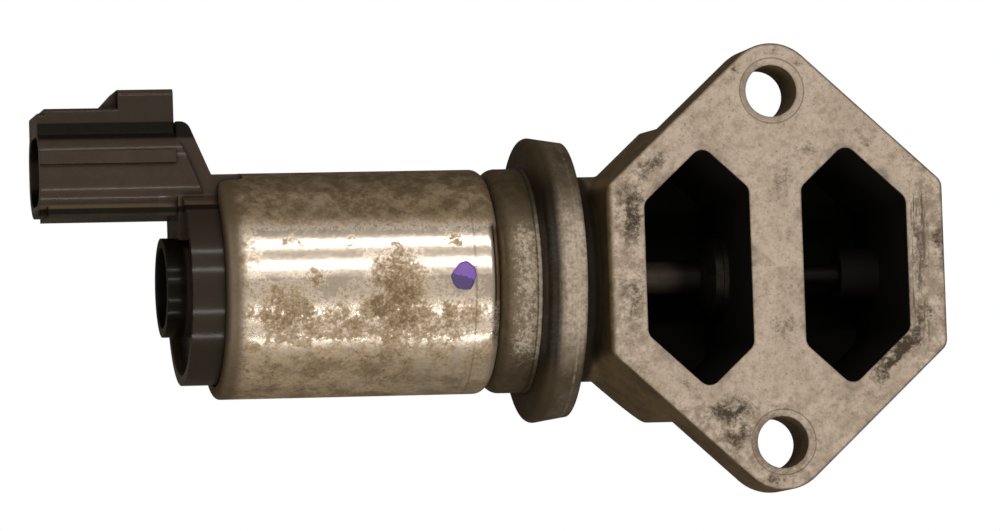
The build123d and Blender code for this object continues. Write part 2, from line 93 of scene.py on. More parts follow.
def move(tree, operation, place, by):
    """One step of arithmetic on a place."""
    inputs = {0: place, "Scale" if operation == "SCALE" else 1: by}
    return node(tree, "ShaderNodeVectorMath", inputs, operation=operation).outputs[0]


def chain(tree, operation, parts):
    """One operation worked through a row of numbers or outputs."""
    result = parts[0]
    for part in parts[1:]:
        result = work_out(tree, operation, result, part)
    return result


def both(tree, *masks):
    """The product of masks."""
    return chain(tree, "MULTIPLY", masks)


def added(tree, *masks):
    """The sum of masks."""
    return chain(tree, "ADD", masks)


def strongest(tree, *masks):
    """The largest of some masks."""
    return chain(tree, "MAXIMUM", masks)


def less(tree, first, second):
    """What is left of the first number after the second."""
    return work_out(tree, "SUBTRACT", first, second)


def distance(tree, first, second):
    """How far a place is from a line, by its two distances across that line."""
    return work_out(tree, "SQRT", added(tree, both(tree, first, first), both(tree, second, second)))


def ease(tree, value, start, end):
    """A mask that goes smoothly from 0 at start to 1 at end, in either direction."""
    inputs = {0: value, 1: start, 2: end, 3: 0.0, 4: 1.0}
    return node(tree, "ShaderNodeMapRange", inputs, interpolation_type="SMOOTHSTEP").outputs[0]


def strip(tree, value, rise, fall):
    """A mask that comes up over the rise and goes down again over the fall."""
    return both(tree, ease(tree, value, *rise), ease(tree, value, *fall))


def tint(tree, mask, under, over):
    """One colour over another by a mask."""
    inputs = {0: mask}
    for key, colour in ((6, under), (7, over)):
        inputs[key] = colour if isinstance(colour, bpy.types.NodeSocket) else (*colour, 1.0)
    return node(tree, "ShaderNodeMix", inputs, data_type="RGBA").outputs[2]


def between(tree, mask, under, over):
    """One number over another by a mask."""
    return node(tree, "ShaderNodeMix", {0: mask, 2: under, 3: over}, data_type="FLOAT").outputs[0]


def new_finish(name):
    """Starts a material; its patterns are placed on the part itself, in millimetres."""
    material = bpy.data.materials.new(name)
    material.use_nodes = True
    tree = material.node_tree
    place = move(tree, "SCALE", node(tree, "ShaderNodeTexCoord").outputs["Object"], mm_per_metre)
    return material, tree, tree.nodes["Principled BSDF"], place


def split(tree, place):
    """The three coordinates of a place."""
    return node(tree, "ShaderNodeSeparateXYZ", {0: place}).outputs[:3]


def new_pattern(name, titles_in, titles_out):
    """Starts a shader node group with named sockets: places, spans and normals are vectors, the rest numbers."""
    group = bpy.data.node_groups.new(name, "ShaderNodeTree")
    for way, titles in (("INPUT", titles_in), ("OUTPUT", titles_out)):
        for title in titles:
            is_vector = title in ("Place", "Middle", "Span", "Normal")
            kind = "NodeSocketVector" if is_vector else "NodeSocketFloat"
            group.interface.new_socket(title, in_out=way, socket_type=kind)
    return group, node(group, "NodeGroupInput").outputs, node(group, "NodeGroupOutput")


def use_pattern(tree, group, **inputs):
    """Places a pattern in a finish, or in another pattern, with values of its own."""
    return node(tree, "ShaderNodeGroup", inputs, node_tree=group).outputs


def dress(material, *names):
    """Gives CAD pieces their finish."""
    for name in names:
        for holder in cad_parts[name].material_slots:
            holder.material = material


stain_patches, given, result = new_pattern("stain patches", ["Place", "Size", "Start", "End"], ["Patches"])
closeness = work_out(stain_patches, "DIVIDE", 1.0, given["Size"])
inputs = {"Vector": given["Place"], "Scale": closeness, "Detail": 8.0, "Roughness": 0.74, "Distortion": 0.12}
cloud = node(stain_patches, "ShaderNodeTexNoise", inputs).outputs[0]
feed(result, {"Patches": ease(stain_patches, cloud, given["Start"], given["End"])})


def patches(tree, place, size, start, end):
    """Stains of one size, bare where their noise is below start and full where it is above end."""
    return use_pattern(tree, stain_patches, Place=place, Size=size, Start=start, End=end)["Patches"]


metal_grain, given, result = new_pattern("metal grain", ["Place", "Size"], ["Height", "Pits"])
closeness = work_out(metal_grain, "DIVIDE", 1.0, given["Size"])
inputs = {"Vector": given["Place"], "Scale": closeness, "Detail": 4.0, "Roughness": 0.6}
grain = node(metal_grain, "ShaderNodeTexNoise", inputs).outputs[0]
inputs = {"Vector": given["Place"], "Scale": both(metal_grain, closeness, 0.55), "Randomness": 1.0}
cells = node(metal_grain, "ShaderNodeTexVoronoi", inputs).outputs["Distance"]
pits = ease(metal_grain, added(metal_grain, cells, both(metal_grain, grain, 0.35)), 0.42, 0.2)
feed(result, {"Height": less(metal_grain, grain, pits), "Pits": pits})

# Grains of dirt that stand apart where the cover is thin and join where it is dense.
loose_flecks, given, result = new_pattern("loose flecks", ["Place", "Size", "Cover"], ["Flecks"])
bare_start, fleck_spread = 0.56, 0.30
start = less(loose_flecks, bare_start, both(loose_flecks, given["Cover"], fleck_spread))
end = added(loose_flecks, start, fleck_spread)
feed(result, {"Flecks": patches(loose_flecks, given["Place"], given["Size"], start, end)})

# The place pushed about by a noise, so that smears lose their even outline.
pushed_place, given, result = new_pattern("pushed place", ["Place", "Size", "Push"], ["Place"])
closeness = work_out(pushed_place, "DIVIDE", 1.0, given["Size"])
inputs = {"Vector": given["Place"], "Scale": closeness, "Detail": 5.0, "Roughness": 0.65}
drift = node(pushed_place, "ShaderNodeTexNoise", inputs).outputs["Color"]
drift = move(pushed_place, "SUBTRACT", drift, (0.5, 0.5, 0.5))
drift = move(pushed_place, "SCALE", drift, given["Push"])
feed(result, {"Place": move(pushed_place, "ADD", given["Place"], drift)})

# A soft oval as seen from in front of the sealing face, strongest at its middle.
soft_oval, given, result = new_pattern("soft oval", ["Place", "Middle", "Span", "Turn", "Strength"], ["Smear"])
turned = node(soft_oval, "ShaderNodeCombineXYZ", {2: given["Turn"]}).outputs[0]
inputs = {"Vector": given["Place"], "Location": given["Middle"], "Rotation": turned, "Scale": given["Span"]}
local = node(soft_oval, "ShaderNodeMapping", inputs, vector_type="TEXTURE").outputs[0]
far = node(soft_oval, "ShaderNodeVectorMath", {0: local}, operation="LENGTH").outputs["Value"]
feed(result, {"Smear": both(soft_oval, ease(soft_oval, far, 1.15, 0.1), given["Strength"])})


def smears(tree, place, ovals):
    """The masks of some soft ovals, each with its middle, half spans, turn in degrees and strength."""
    through = 1000.0
    masks = []
    for middle, span, turn, strength in ovals:
        inputs = {"Middle": (*middle, 0.0), "Span": (*span, through), "Turn": radians(turn), "Strength": strength}
        masks.append(use_pattern(tree, soft_oval, Place=place, **inputs)["Smear"])
    return masks


# The normal of edges rounded by a radius in millimetres, and a mask of those edges.
rounded_edges, given, result = new_pattern("rounded edges", ["Radius"], ["Normal", "Edges"])
radius = work_out(rounded_edges, "DIVIDE", given["Radius"], mm_per_metre)
rounded = node(rounded_edges, "ShaderNodeBevel", {"Radius": radius}, samples=6).outputs[0]
flat = node(rounded_edges, "ShaderNodeNewGeometry").outputs["Normal"]
likeness = node(rounded_edges, "ShaderNodeVectorMath", {0: rounded, 1: flat}, operation="DOT_PRODUCT")
feed(result, {"Normal": rounded, "Edges": ease(rounded_edges, likeness.outputs["Value"], 0.99, 0.85)})


def relief(tree, surface, height, strength, depth, radius):
    """Joins fine relief, its depth in millimetres, with rounded edges; gives the mask of the edges."""
    edges = use_pattern(tree, rounded_edges, Radius=radius)
    inputs = {"Height": height, "Strength": strength, "Distance": depth / mm_per_metre, "Normal": edges["Normal"]}
    feed(surface, {"Normal": node(tree, "ShaderNodeBump", inputs).outputs[0]})
    return edges["Edges"]


# A mask of inner corners by how closed in they are, within a reach in millimetres; it paints shade into corners.
shaded_corners, given, result = new_pattern("shaded corners", ["Reach"], ["Corners"])
reach = work_out(shaded_corners, "DIVIDE", given["Reach"], mm_per_metre)
openness = node(shaded_corners, "ShaderNodeAmbientOcclusion", {"Distance": reach}, samples=6).outputs["AO"]
feed(result, {"Corners": ease(shaded_corners, openness, 0.92, 0.5)})

port_far_side = 19.1
port_near_side = 3.75
port_slope = (0.6774, 0.7356)
port_outer_reach = 19.84
port_inner_reach = 5.70
port_edge = (0.7, 0.3)
port_lip = (-0.2, -0.7)
chamber_floor = (-33.4, -33.0)
bolt_half_spacing = 25.0
bolt_rim = 4.55
bolt_rim_depth = (-0.6, -0.45)
face_depth = (-0.33, -0.08)
face_shaded_edge = (-24.2, -23.4)
neck_root = (-23.9, -25.0)
low_lug = (-17.0, -20.5)
side_rims = (18.8, 20.0)
milled_face = (0.435, 0.365, 0.307)
rubbed_face = (0.575, 0.497, 0.428)
clouded_face = (0.255, 0.207, 0.158)
face_grime = (0.062, 0.048, 0.033)
raw_casting = (0.135, 0.094, 0.048)
dark_casting = (0.036, 0.026, 0.014)
neck_grime_and_shade = (0.0095, 0.0072, 0.0044)
soot = (0.0045, 0.004, 0.003)
face_smears = (
    ((-20.8, 7.8), (2.2, 6.6), 0, 0.95), ((-20.8, -4.0), (2.0, 7.0), 0, 0.6), ((-18.0, 14.6), (4.6, 1.9), 43, 0.9),
    ((-12.0, 19.9), (3.6, 1.3), 43, 0.5), ((0.9, 12.0), (2.8, 5.2), -18, 0.62), ((4.6, 16.6), (3.6, 1.5), 22, 0.72),
    ((12.8, 18.0), (3.6, 1.5), -43, 0.62), ((20.7, 1.5), (2.0, 10.5), 0, 0.7), ((23.9, 3.0), (1.3, 5.0), 0, 0.8),
    ((17.2, -12.5), (9.4, 1.8), 47, 1.2), ((20.9, -7.3), (1.5, 1.3), 0, 0.8), ((0.8, -9.0), (2.4, 3.8), 0, 0.66),
    ((-7.6, -20.6), (5.2, 2.5), 8, 0.95), ((-6.7, -24.0), (3.0, 2.3), 20, 0.9), ((-12.8, -17.0), (4.2, 1.3), -43, 0.6),
    ((-1.5, -30.5), (3.0, 1.2), 0, 0.75), ((0.3, 30.7), (2.6, 0.8), 0, 0.75), ((-5.4, 28.0), (1.1, 0.9), 0, 0.85),
    ((4.2, 28.6), (0.9, 0.9), 0, 0.75), ((-4.3, -15.0), (2.2, 1.4), 0, 0.45), ((1.2, 4.6), (1.4, 2.0), 0, 0.5),
)

cast_aluminium, tree, surface, place = new_finish("stained cast aluminium")
x, y, z = split(tree, place)
side_x = work_out(tree, "ABSOLUTE", x)
side_y = work_out(tree, "ABSOLUTE", y)
slope_x = both(tree, side_x, port_slope[0])
slope_y = both(tree, side_y, port_slope[1])
to_outer = less(tree, added(tree, slope_x, slope_y), port_outer_reach)
to_inner = less(tree, less(tree, slope_y, slope_x), port_inner_reach)
to_far = less(tree, side_x, port_far_side)
to_near = less(tree, port_near_side, side_x)
to_port = strongest(tree, to_outer, to_inner, to_far, to_near)
from_bolt = distance(tree, x, less(tree, side_y, bolt_half_spacing))
on_rim = both(tree, ease(tree, from_bolt, bolt_rim + 0.15, bolt_rim), ease(tree, z, *bolt_rim_depth))
on_face = strongest(tree, ease(tree, z, *face_depth), on_rim)
# Painted shade: the last strip of the face towards the neck gets the dark side colour, as shade on its rounded edge.
on_face = both(tree, on_face, ease(tree, x, *face_shaded_edge))
in_port = both(tree, ease(tree, to_port, *port_edge), ease(tree, z, *port_lip), ease(tree, z, *chamber_floor))
broad = patches(tree, place, 7.0, 0.42, 0.64)
small = patches(tree, place, 1.5, 0.44, 0.66)
broken = patches(tree, place, 1.05, 0.34, 0.62)
specks = patches(tree, place, 0.5, 0.49, 0.62)
patchy = patches(tree, place, 2.6, 0.36, 0.64)
grain = use_pattern(tree, metal_grain, Place=place, Size=0.34)
worn_lug = both(tree, ease(tree, y, *low_lug), between(tree, ease(tree, x, 1.0, 6.0), 0.9, 0.35))
worn_rim = strongest(tree, ease(tree, side_x, *side_rims), worn_lug)
uneven = use_pattern(tree, pushed_place, Place=place, Size=2.6, Push=6.0)["Place"]
cover = strongest(tree, *smears(tree, uneven, face_smears))
cover = added(tree, both(tree, cover, 0.95), both(tree, broken, between(tree, worn_rim, 0.16, 0.34)))
flecks = use_pattern(tree, loose_flecks, Place=place, Size=0.7, Cover=cover)["Flecks"]
grime = both(tree, flecks, added(tree, both(tree, cover, 0.8), 0.1))
drawn_out = move(tree, "MULTIPLY", place, (1.0, 0.07, 1.0))
right_rim = both(tree, strip(tree, x, (19.2, 19.8), (22.8, 21.0)), ease(tree, side_y, 13.0, 9.0))
scratches = both(tree, patches(tree, drawn_out, 0.6, 0.47, 0.58), right_rim, 0.85)
blots = both(tree, patches(tree, place, 1.1, 0.54, 0.72), worn_rim, 0.55)
at_port = both(tree, ease(tree, to_port, 1.5, 0.4), broad, 0.4)
rim_line = strip(tree, from_bolt, (bolt_rim - 0.05, bolt_rim + 0.06), (bolt_rim + 0.3, bolt_rim + 0.12))
grime = strongest(tree, grime, scratches, blots, at_port, both(tree, rim_line, 0.55), both(tree, specks, 0.2))
cloudy = added(tree, both(tree, broad, 0.46), both(tree, small, 0.5))
worn = both(tree, worn_rim, added(tree, both(tree, broken, 0.45), both(tree, patchy, 0.6)))
rubbed = both(tree, less(tree, 1.0, patchy), added(tree, both(tree, worn_rim, 0.55), 0.2))
face_colour = tint(tree, added(tree, cloudy, worn), milled_face, clouded_face)
face_colour = tint(tree, both(tree, rubbed, less(tree, 1.0, small)), face_colour, rubbed_face)
face_colour = tint(tree, grime, face_colour, face_grime)
face_colour = tint(tree, both(tree, grain["Pits"], 0.42), face_colour, face_grime)
browned = added(tree, both(tree, broad, 0.45), both(tree, small, 0.4))
side_colour = tint(tree, browned, raw_casting, dark_casting)
side_colour = tint(tree, both(tree, grain["Pits"], 0.3), side_colour, dark_casting)
colour = tint(tree, on_face, side_colour, face_colour)
# Painted shade: inner corners and the neck between the ring and the flange are painted near black, as shade with some
# grime.
corners = use_pattern(tree, shaded_corners, Reach=3.0)["Corners"]
colour = tint(tree, both(tree, corners, 0.7), colour, neck_grime_and_shade)
colour = tint(tree, both(tree, ease(tree, x, *neck_root), 0.92), colour, neck_grime_and_shade)
colour = tint(tree, in_port, colour, soot)
rough = between(tree, strongest(tree, grime, in_port), 0.5, 0.75)
metallic = both(tree, on_face, 0.35)
feed(surface, {"Base Color": colour, "Roughness": rough, "Metallic": metallic, "Specular IOR Level": 0.16})
relief(tree, surface, grain["Height"], strength=0.55, depth=0.06, radius=0.5)
dress(cast_aluminium, "valve_body")


# Valve seat and bushes: a turned steel seat pressed through the web between the chambers, and two sintered
# bronze bushes that guide the stem. All three have the same dark film as the chambers.
def filmed_finish(name, film, bare, filmed, roughness, **others):
    """A finish of two colours and two roughnesses, one bare and one under patches of film."""
    material, tree, surface, place = new_finish(name)
    mask = patches(tree, place, *film)
    feed(surface, {"Base Color": tint(tree, mask, bare, filmed), "Roughness": between(tree, mask, *roughness)})
    feed(surface, {key.replace("_", " "): value for key, value in others.items()})
    return material


seat_steel = filmed_finish(
    "sooted seat steel", film=(2.5, 0.35, 0.65), bare=(0.04, 0.034, 0.026), filmed=(0.012, 0.010, 0.008),
    roughness=(0.35, 0.6), Metallic=0.8)
dress(seat_steel, "valve_seat", "valve_head")

bush_bronze, tree, surface, place = new_finish("oiled sintered bronze")
grain = use_pattern(tree, metal_grain, Place=place, Size=0.25)
film = patches(tree, place, 2.0, 0.35, 0.65)
colour = tint(tree, film, (0.020, 0.0145, 0.0085), (0.009, 0.007, 0.0045))
colour = tint(tree, grain["Pits"], colour, (0.006, 0.0045, 0.003))
feed(surface, {"Base Color": colour, "Roughness": between(tree, film, 0.4, 0.62), "Metallic": 0.8})
dress(bush_bronze, "stem_bush", "tail_bush")


# Plunger: a soft-iron armature pressed on a ground stem, which carries the poppet disc under a push-on clip.
# It slides in the bushes and the guide sleeve, and the spring holds the poppet on its seat.
turned_lines, given, result = new_pattern("turned lines", ["Place", "Pitch"], ["Lines"])
closeness = work_out(turned_lines, "DIVIDE", 1.0, given["Pitch"])
stretch = node(turned_lines, "ShaderNodeCombineXYZ", {0: closeness, 1: 0.05, 2: 0.05}).outputs[0]
along = move(turned_lines, "MULTIPLY", given["Place"], stretch)
inputs = {"Vector": along, "Scale": 1.0, "Detail": 3.0, "Roughness": 0.7}
feed(result, {"Lines": node(turned_lines, "ShaderNodeTexNoise", inputs).outputs[0]})


def lines_round(tree, place, pitch):
    """Fine lines round the valve's axis, as a lathe or a drawing die leaves them."""
    return use_pattern(tree, turned_lines, Place=place, Pitch=pitch)["Lines"]


stem_soot = (-13.5, -9.0)
stem_steel, tree, surface, place = new_finish("ground stem steel")
lines = lines_round(tree, place, 0.15)
film = patches(tree, place, 4.0, 0.35, 0.7)
x = split(tree, place)[0]
colour = tint(tree, film, (0.075, 0.062, 0.048), (0.048, 0.038, 0.030))
colour = tint(tree, ease(tree, x, *stem_soot), colour, (0.006, 0.005, 0.004))
rough = between(tree, lines, 0.45, 0.65)
feed(surface, {"Base Color": colour, "Roughness": rough, "Metallic": 0.4, "Specular IOR Level": 0.2})
dress(stem_steel, "valve_stem")

line_depth = 0.03
magnet_steel, tree, surface, place = new_finish("turned soft iron")
lines = lines_round(tree, place, 0.3)
film = patches(tree, place, 5.0, 0.4, 0.75)
colour = tint(tree, film, (0.42, 0.41, 0.39), (0.24, 0.20, 0.16))
bump = node(tree, "ShaderNodeBump", {"Height": lines, "Strength": 0.3, "Distance": line_depth / mm_per_metre})
rough = between(tree, lines, 0.25, 0.5)
feed(surface, {"Base Color": colour, "Roughness": rough, "Metallic": 1.0, "Normal": bump.outputs[0]})
dress(magnet_steel, "armature", "front_pole", "yoke_washer", "fixed_core")

spring_steel = filmed_finish(
    "drawn spring steel", film=(1.2, 0.4, 0.7), bare=(0.45, 0.44, 0.42), filmed=(0.22, 0.20, 0.18),
    roughness=(0.25, 0.45), Metallic=1.0)
dress(spring_steel, "head_clip")


# Coil: enamelled copper wire wound in even turns on a moulded bobbin, inside the can. The turns lie side by
# side between the bobbin's flanges, and a brass sleeve through the middle guides the armature.
def new_shape(name, sizes):
    """Starts a Geometry Nodes group with named sizes going in, and keeps each size by its socket."""
    shape = bpy.data.node_groups.new(name, "GeometryNodeTree")
    shape.is_modifier = True
    settings = {}
    for title, value in sizes.items():
        kind = "NodeSocketInt" if isinstance(value, int) else "NodeSocketFloat"
        settings[shape.interface.new_socket(title, in_out="INPUT", socket_type=kind).identifier] = value
    shape.interface.new_socket("Geometry", in_out="OUTPUT", socket_type="NodeSocketGeometry")
    return shape, node(shape, "NodeGroupInput").outputs, settings


def bake_shape(shape, geometry, settings, material, placing):
    """Ends the group with its material, runs it with its sizes and returns the placed mesh."""
    solid = node(shape, "GeometryNodeRealizeInstances", {0: geometry}).outputs[0]
    smooth = node(shape, "GeometryNodeSetShadeSmooth", {0: solid}).outputs[0]
    painted = node(shape, "GeometryNodeSetMaterial", {0: smooth, "Material": material}).outputs[0]
    node(shape, "NodeGroupOutput", {0: painted})
    maker = bpy.data.objects.new("maker", bpy.data.meshes.new("maker"))
    bpy.context.scene.collection.objects.link(maker)
    runner = maker.modifiers.new("maker", "NODES")
    runner.node_group = shape
    for key, value in settings.items():
        runner[key] = value
    mesh = bpy.data.meshes.new_from_object(maker.evaluated_get(bpy.context.evaluated_depsgraph_get()))
    bpy.data.objects.remove(maker)
    mesh.transform(placing)
    mesh.materials.clear()
    mesh.materials.append(material)
    for face in mesh.polygons:
        face.material_index = 0
    return mesh


def add_piece(name, mesh):
    """Puts a mesh in the scene as a piece of its own."""
    piece = bpy.data.objects.new(name, mesh)
    bpy.context.scene.collection.objects.link(piece)
    return piece


wire_diameter = 0.0007
winding_depth = 0.0048
turn_steps = 60
copper_wire = filmed_finish(
    "enamelled copper wire", film=(3.0, 0.4, 0.7), bare=(0.55, 0.20, 0.07), filmed=(0.33, 0.11, 0.04),
    roughness=(0.28, 0.4), Metallic=0.9, Coat_Weight=0.4)

winding_low, winding_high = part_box("coil_winding")
winding_middle = (winding_low + winding_high) / 2
winding_radius = (winding_high.z - winding_low.z) / 2
winding_length = winding_high.x - winding_low.x
turns, given, settings = new_shape("wire turns", {
    "Turns": int(winding_length / wire_diameter), "Span": winding_length - wire_diameter,
    "Radius": winding_radius, "Wire": wire_diameter})
half_wire = work_out(turns, "MULTIPLY", given["Wire"], 0.5)
inputs = {"Resolution": turn_steps, "Radius": less(turns, given["Radius"], half_wire)}
ring = node(turns, "GeometryNodeCurvePrimitiveCircle", inputs).outputs[0]
section = node(turns, "GeometryNodeCurvePrimitiveCircle", {"Resolution": 6, "Radius": half_wire}).outputs[0]
turn = node(turns, "GeometryNodeCurveToMesh", {0: ring, 1: section}).outputs[0]
first = node(turns, "ShaderNodeCombineXYZ", {2: work_out(turns, "MULTIPLY", given["Span"], -0.5)}).outputs[0]
last = node(turns, "ShaderNodeCombineXYZ", {2: work_out(turns, "MULTIPLY", given["Span"], 0.5)}).outputs[0]
inputs = {"Count": given["Turns"], "Start Location": first, "Offset": last}
row = node(turns, "GeometryNodeMeshLine", inputs, mode="END_POINTS").outputs[0]
laid = node(turns, "GeometryNodeInstanceOnPoints", {"Points": row, "Instance": turn}).outputs[0]
along_axis = Matrix.Rotation(pi / 2, 4, "Y")
wound = bake_shape(turns, laid, settings, copper_wire, Matrix.Translation(winding_middle) @ along_axis)

# The turns below the outer layer are one plain ring, which ends just under the middle of the outer wires.
core = bmesh.new()
core.from_mesh(wound)
under_radius = winding_radius - wire_diameter * 0.45
hub_radius = winding_radius - winding_depth
profile = [(-0.5, hub_radius), (-0.5, under_radius), (0.5, under_radius), (0.5, hub_radius)]
rings = []
for share, radius in profile:
    loop = []
    for step in range(turn_steps):
        angle = 2 * pi * step / turn_steps
        where = Vector((share * winding_length, radius * cos(angle), radius * sin(angle)))
        loop.append(core.verts.new(winding_middle + where))
    rings.append(loop)
for one, other in zip(rings, rings[1:] + rings[:1]):
    for step in range(turn_steps):
        core.faces.new((one[step], one[step - 1], other[step - 1], other[step]))
core.to_mesh(wound)
core.free()
winding = add_piece("wound_coil", wound)
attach(winding, "housing")
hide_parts("coil_winding")

bobbin_plastic = filmed_finish(
    "natural bobbin nylon", film=(6.0, 0.4, 0.7), bare=(0.55, 0.48, 0.35), filmed=(0.42, 0.33, 0.21),
    roughness=(0.42, 0.55))
dress(bobbin_plastic, "coil_bobbin")

sleeve_brass, tree, surface, place = new_finish("drawn brass")
lines = lines_round(tree, place, 0.4)
colour = tint(tree, lines, (0.60, 0.42, 0.16), (0.42, 0.27, 0.09))
feed(surface, {"Base Color": colour, "Roughness": between(tree, lines, 0.2, 0.42), "Metallic": 1.0})
dress(sleeve_brass, "guide_sleeve", "spring_adjuster")


# Return spring: a coil of drawn steel wire from the adjuster to the armature's pocket, with a closed turn at each
# end. It holds the poppet on its seat and shortens as the coil pulls the armature in, but this mesh keeps one length.
spring_wire = 0.00054
spring_turns = 8.0
spring_low, spring_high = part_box("return_spring")
spring_length = spring_high.x - spring_low.x
spring_radius = (spring_high.z - spring_low.z) / 2
spring_start = Vector((spring_low.x + spring_wire / 2, 0.0, (spring_low.z + spring_high.z) / 2))
coils, given, settings = new_shape("spring coils", {
    "Turns": spring_turns, "Span": spring_length - spring_wire, "Radius": spring_radius, "Wire": spring_wire})
half_wire = work_out(coils, "MULTIPLY", given["Wire"], 0.5)
middle_radius = less(coils, given["Radius"], half_wire)
helix = node(coils, "GeometryNodeCurveSpiral", {
    "Resolution": 28, "Rotations": given["Turns"], "Start Radius": middle_radius, "End Radius": middle_radius,
    "Height": given["Span"]}).outputs[0]
turned = both(coils, node(coils, "GeometryNodeSplineParameter").outputs["Factor"], given["Turns"])
last_turn = less(coils, given["Turns"], 1.0)
free_span = less(coils, given["Span"], both(coils, given["Wire"], 2.0))
climbs = []
for start, end, climb in (
        (0.0, 1.0, given["Wire"]), (1.0, last_turn, free_span), (last_turn, given["Turns"], given["Wire"])):
    climbs.append(node(coils, "ShaderNodeMapRange", {0: turned, 1: start, 2: end, 3: 0.0, 4: climb}).outputs[0])
x, y = split(coils, node(coils, "GeometryNodeInputPosition").outputs[0])[:2]
risen = node(coils, "ShaderNodeCombineXYZ", {0: x, 1: y, 2: added(coils, *climbs)}).outputs[0]
helix = node(coils, "GeometryNodeSetPosition", {0: helix, "Position": risen}).outputs[0]
section = node(coils, "GeometryNodeCurvePrimitiveCircle", {"Resolution": 10, "Radius": half_wire}).outputs[0]
wire = node(coils, "GeometryNodeCurveToMesh", {0: helix, 1: section, "Fill Caps": True}).outputs[0]
coiled = bake_shape(coils, wire, settings, spring_steel, Matrix.Translation(spring_start) @ along_axis)
spring = add_piece("coil_spring", coiled)
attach(spring, "housing")
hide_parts("return_spring")
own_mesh(spring)


# Can: a deep-drawn steel cup with bright plating, closed at the end by the cap. Brown stains have spread over
# its lower half and its middle, the rolled lip is dull, and a few drawing marks run round the far end.
plate_clean = (0.70, 0.63, 0.555)
plate_film = (0.35, 0.267, 0.174)
plate_dust = (0.56, 0.445, 0.30)
plate_brown = (0.17, 0.118, 0.061)
plate_dark = (0.085, 0.060, 0.032)
lip_fade = (-74.6, -76.8)
lip_stain = (-71.5, -75.5)
low_side = (-6.5, -11.5)
high_side = (5.6, 9.6)
axis_depth = -21.0
plate_stains = (
    ((-54.0, -4.0), (6.8, 9.0), 0, 1.35), ((-70.2, -5.0), (6.4, 6.8), 15, 0.95), ((-62.6, -6.4), (4.6, 3.4), 0, 0.85),
    ((-74.6, -1.7), (1.3, 1.2), 0, 1.0), ((-65.2, -0.3), (1.7, 1.0), 0, 0.9), ((-70.3, -6.4), (1.5, 1.2), 0, 1.0),
    ((-45.4, -5.6), (6.6, 4.4), 0, 0.9), ((-60.5, 4.8), (1.2, 1.0), 0, 0.6), ((-68.6, 5.2), (2.6, 1.3), 0, 0.6),
    ((-53.8, 3.2), (4.2, 1.9), 0, 0.66), ((-45.2, 5.2), (1.8, 1.0), 0, 0.6), ((-58.0, -6.6), (25.0, 5.4), 0, 0.85),
)

plated_steel, tree, surface, place = new_finish("stained plated steel")
x, y = split(tree, place)[:2]
broad = patches(tree, place, 7.0, 0.40, 0.62)
middle = patches(tree, place, 2.4, 0.40, 0.60)
spots = patches(tree, place, 1.5, 0.38, 0.62)
grains = patches(tree, place, 0.5, 0.32, 0.66)
lines = lines_round(tree, place, 0.5)
low_half = both(tree, ease(tree, y, *low_side), between(tree, ease(tree, x, -56.0, -47.0), 0.95, 0.7))
high_half = ease(tree, y, *high_side)
near_lip = both(tree, ease(tree, x, *lip_stain), 0.45)
uneven = use_pattern(tree, pushed_place, Place=place, Size=2.4, Push=8.0)["Place"]
cover = strongest(tree, *smears(tree, uneven, plate_stains), low_half, high_half, near_lip)
cover = both(tree, cover, added(tree, both(tree, middle, 0.5), both(tree, broad, 0.32), 0.42))
smeared = both(tree, cover, added(tree, both(tree, grains, 0.7), both(tree, spots, 0.26), 0.12))
low_film = added(tree, both(tree, grains, 0.22), both(tree, spots, 0.28), both(tree, middle, 0.34), 0.08)
low_film = both(tree, cover, low_film, between(tree, broad, 0.6, 1.3))
high_film = both(tree, cover, added(tree, both(tree, grains, 0.14), both(tree, spots, 0.2), 0.5))
film = between(tree, high_half, between(tree, low_half, smeared, low_film), high_film)
film = strongest(tree, film, both(tree, low_half, 0.34))
filmed = ease(tree, film, 0.02, 0.42)
dusted = both(tree, low_half, middle, between(tree, spots, 0.5, 0.95))
blotches = both(tree, patches(tree, place, 4.2, 0.43, 0.61), low_half, between(tree, grains, 0.5, 0.95))
caked = both(tree, ease(tree, film, 0.34, 0.92), between(tree, ease(tree, y, -12.2, -14.0), 1.0, 0.5))
caked = strongest(tree, caked, blotches)
specks = added(tree, between(tree, broad, 0.12, 0.3), both(tree, cover, 0.5))
specks = both(tree, patches(tree, place, 0.42, 0.50, 0.66), specks)
# The plating is painted darker towards its upper side.
top_darkening = both(tree, strip(tree, y, (7.2, 9.0), (12.0, 10.0)), 0.28)
top_darkening = added(tree, both(tree, ease(tree, y, 10.0, 15.2), 0.6), top_darkening)
top_darkening = added(tree, top_darkening, both(tree, ease(tree, y, 7.0, 10.0), middle, 0.3))
top_darkening = work_out(tree, "MINIMUM", top_darkening, 1.0)
lip = ease(tree, x, *lip_fade)
score = strip(tree, x, (-42.85, -42.7), (-42.4, -42.55))
colour = tint(tree, filmed, plate_clean, plate_film)
colour = tint(tree, dusted, colour, plate_dust)
colour = tint(tree, caked, colour, plate_brown)
for mask in (specks, top_darkening, both(tree, score, 0.35), both(tree, lip, 0.86)):
    colour = tint(tree, mask, colour, plate_dark)
rough = between(tree, ease(tree, film, 0.0, 0.4), 0.12, 0.55)
rough = added(tree, rough, both(tree, lines, 0.03), both(tree, grains, 0.08))
rough = between(tree, lip, rough, 0.62)
feed(surface, {"Base Color": colour, "Roughness": rough, "Metallic": between(tree, filmed, 1.0, 0.35)})
height = added(tree, both(tree, lines, 0.08), both(tree, film, -0.4))
relief(tree, surface, height, strength=0.12, depth=0.03, radius=0.15)
dress(plated_steel, "solenoid_can")


